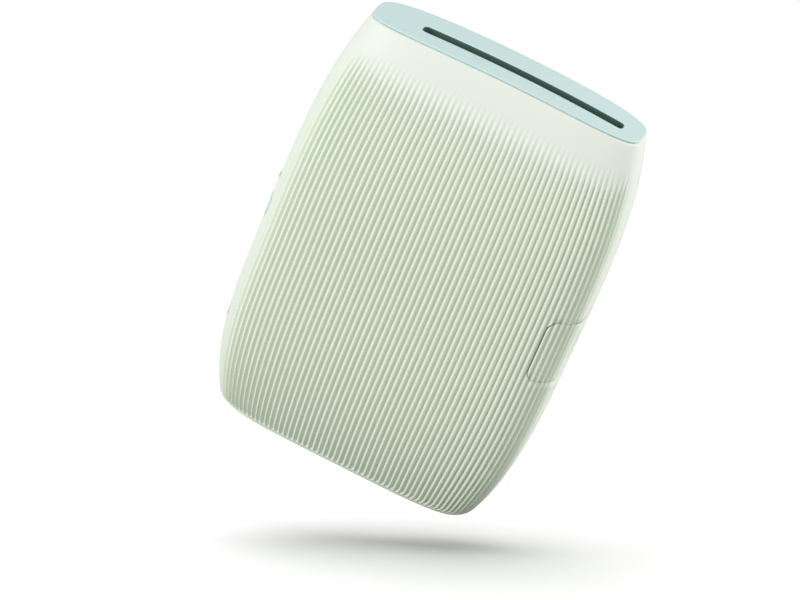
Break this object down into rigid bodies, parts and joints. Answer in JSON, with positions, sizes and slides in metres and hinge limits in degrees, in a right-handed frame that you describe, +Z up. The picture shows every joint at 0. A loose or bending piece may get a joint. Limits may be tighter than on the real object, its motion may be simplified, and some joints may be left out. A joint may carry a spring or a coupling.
{
  "type": "compact photo printer",
  "caption": "Pocket photo printer with a barrel-shaped ribbed case, a film slot in the top cap, a hinged film door at the back and a sprung latch on its side.",
  "frame": {"origin": "middle of the flat base that it stands on", "axes": "+Z up along its height, -Y out of the ribbed front, +Y out of the film door, +X to the right seen from the front"},
  "size_m": [0.09, 0.036, 0.125],
  "materials": {
    "shell": "fine satin texture",
    "cap": "smooth satin",
    "dark_plastic": "matt",
    "rubber": "matt",
    "steel": "satin",
    "brass": "turned",
    "nylon": "natural nylon",
    "window": "clear, amber tint",
    "clear": "clear, polished",
    "board": "solder mask",
    "foil": "foil pouch",
    "lead": "insulation",
    "flex": "film"
  },
  "bodies": {
    "case": {"front_housing": "shell", "rear_housing": "shell", "base_cover": "cap", "top_cap": "cap", "slot_seal": "rubber", "chassis": "dark_plastic", "light_seal": "rubber", "housing_screws": "steel", "base_screws": "steel", "rear_screws": "steel", "door_hinge_pins": "steel", "latch_pin": "steel", "latch_spring": "steel", "roller_frame": "steel", "roller_bushes": "brass", "gear_plate": "steel", "gear_axles": "steel", "motor": "steel", "claw_screws": "steel", "claw_spring": "steel", "exposure_head": "dark_plastic", "rod_lens": "clear", "main_board": "board", "board_parts": "dark_plastic", "board_screws": "steel", "battery": "foil", "battery_tape": "dark_plastic", "battery_lead": "lead", "motor_lead": "lead", "head_flex": "flex", "usb_socket": "steel", "power_switch": "dark_plastic", "reset_switch": "dark_plastic", "status_led": "nylon", "light_pipe": "clear"},
    "film_door": {"film_door": "shell", "film_window": "window", "door_catch": "dark_plastic", "door_leaf_springs": "steel"},
    "door_latch": {"door_latch": "shell"},
    "power_button": {"power_button": "cap"},
    "reset_button": {"reset_button": "dark_plastic"},
    "drive_roller": {"drive_shaft": "steel", "drive_sleeve": "rubber", "drive_gear": "nylon"},
    "pressure_roller": {"pressure_shaft": "steel", "pressure_sleeve": "steel", "pressure_gear": "nylon"},
    "gear_a": {"compound_gear_a": "nylon"},
    "gear_b": {"compound_gear_b": "nylon"},
    "motor_rotor": {"motor_shaft": "steel", "motor_pinion": "brass"},
    "pick_claw": {"pick_claw": "steel"}
  },
  "joints": [
    {"name": "film_door_hinge", "type": "hinge", "parent": "case", "child": "film_door", "pos_m": [-0.0403, 0.0105, 0.058], "axis": [0, 0, 1], "range_deg": [0, 105]},
    {"name": "door_latch_hinge", "type": "hinge", "parent": "case", "child": "door_latch", "pos_m": [0.0383, -0.01184, 0.0616], "axis": [0, 0, -1], "range_deg": [0, 2.5], "stiffness_Nm_per_rad": 0.4},
    {"name": "power_press", "type": "slide", "parent": "case", "child": "power_button", "axis": [1, 0, 0], "range_m": [0, 0.0006], "stiffness_N_per_m": 1500},
    {"name": "reset_press", "type": "slide", "parent": "case", "child": "reset_button", "axis": [1, 0, 0], "range_m": [0, 0.0004], "stiffness_N_per_m": 1500},
    {"name": "drive_spin", "type": "hinge", "parent": "case", "child": "drive_roller", "pos_m": [0, -0.00639, 0.112], "axis": [1, 0, 0], "continuous": true},
    {"name": "pressure_spin", "type": "hinge", "parent": "case", "child": "pressure_roller", "pos_m": [0, 0.00119, 0.112], "axis": [1, 0, 0], "continuous": true},
    {"name": "gear_b_spin", "type": "hinge", "parent": "case", "child": "gear_b", "pos_m": [-0.032, 0.00119, 0.10517], "axis": [1, 0, 0], "continuous": true},
    {"name": "gear_a_spin", "type": "hinge", "parent": "case", "child": "gear_a", "pos_m": [-0.034, 0.00014, 0.09514], "axis": [1, 0, 0], "continuous": true},
    {"name": "motor_spin", "type": "hinge", "parent": "case", "child": "motor_rotor", "pos_m": [-0.032, -0.0096, 0.09254], "axis": [1, 0, 0], "continuous": true},
    {"name": "claw_slide", "type": "slide", "parent": "case", "child": "pick_claw", "axis": [0, 0, 1], "range_m": [0, 0.006], "stiffness_N_per_m": 80, "deforming": ["claw_spring"]}
  ],
  "couplings": [
    {"joint": "pressure_spin", "follows": "drive_spin", "ratio": -1},
    {"joint": "gear_b_spin", "follows": "drive_spin", "ratio": 1.25},
    {"joint": "gear_a_spin", "follows": "drive_spin", "ratio": -3.75},
    {"joint": "motor_spin", "follows": "drive_spin", "ratio": 11.25}
  ]
}
